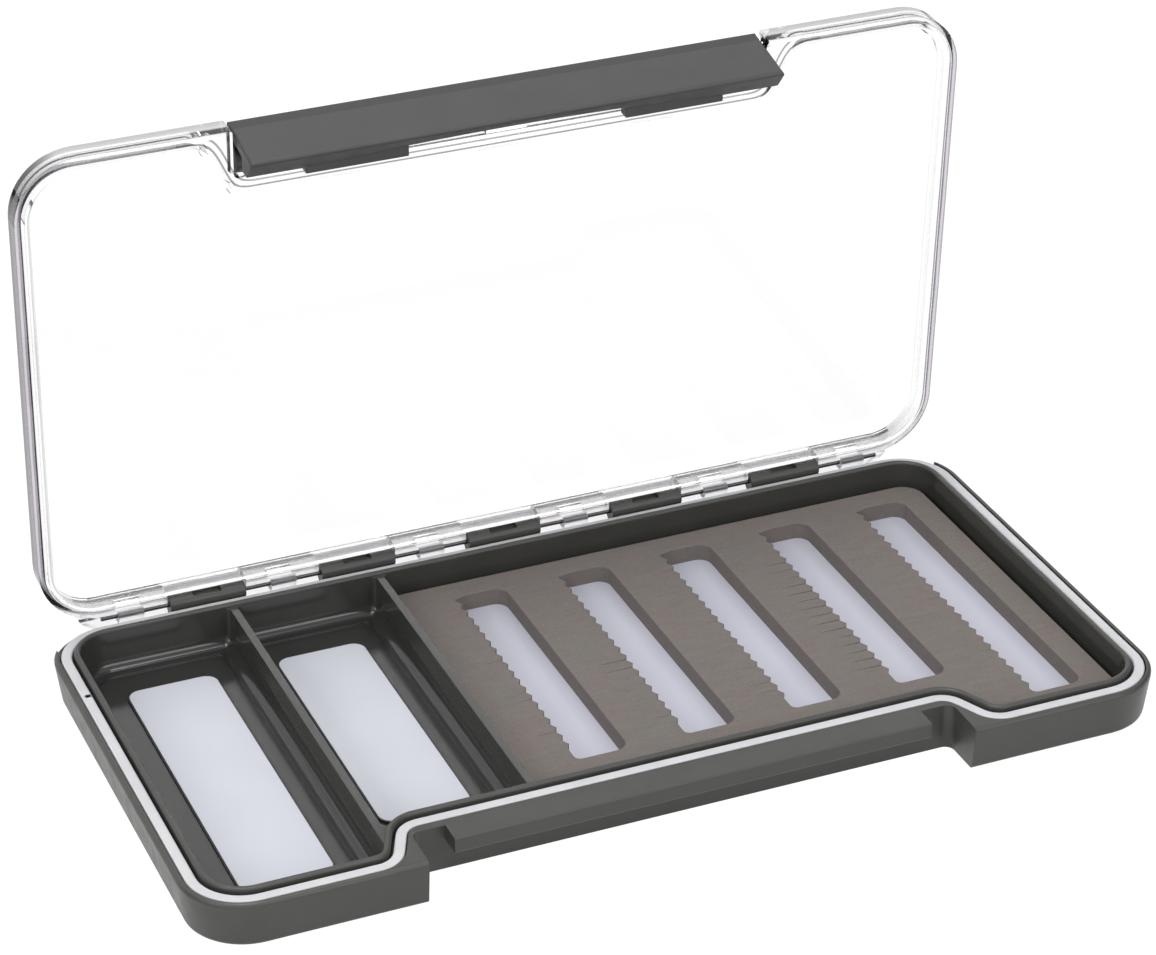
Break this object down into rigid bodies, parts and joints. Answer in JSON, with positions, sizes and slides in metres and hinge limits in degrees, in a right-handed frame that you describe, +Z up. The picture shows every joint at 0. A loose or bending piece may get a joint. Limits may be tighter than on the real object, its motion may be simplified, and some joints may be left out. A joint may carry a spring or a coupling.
{
  "type": "fly box",
  "caption": "Slim waterproof fly box with a hinged clear lid, a swinging front latch, a gasketed tray, magnet compartments and a slotted foam insert.",
  "frame": {"origin": "on the tray's underside at mid-length, 50 mm behind the tray's front face", "axes": "+X along the hinge to the right as seen from the latch, +Y from the latch to the hinge, +Z up"},
  "size_m": [0.1872, 0.1034, 0.1077],
  "materials": {
    "tray_plastic": "moulded dark warm grey with a satin skin",
    "latch_plastic": "moulded grey with a satin skin",
    "clear_plastic": "clear polished moulded plastic",
    "silicone": "white silicone",
    "pin_steel": "drawn steel wire",
    "foam": "closed-cell foam, fine matt skin",
    "magnet": "black flexible magnet sheet",
    "white_film": "white film, low gloss"
  },
  "bodies": {
    "tray": {"base_tray": "tray_plastic", "gasket": "silicone", "hinge_pin": "pin_steel", "foam_insert": "foam", "left_magnet_sheet": "magnet", "left_white_film": "white_film", "middle_magnet_sheet": "magnet", "middle_white_film": "white_film", "foam_magnet_sheet": "magnet", "foam_white_film": "white_film"},
    "lid": {"lid": "clear_plastic", "latch_pin": "pin_steel"},
    "latch": {"latch": "latch_plastic"}
  },
  "joints": [
    {"name": "lid_hinge", "type": "hinge", "parent": "tray", "child": "lid", "pos_m": [0, 0.04825, 0.00956], "axis": [-1, 0, 0], "range_deg": [-86.2, 28.8]},
    {"name": "latch_pivot", "type": "hinge", "parent": "lid", "child": "latch", "pos_m": [0, 0.0442, 0.10074], "axis": [-1, 0, 0], "range_deg": [0, 80]}
  ]
}
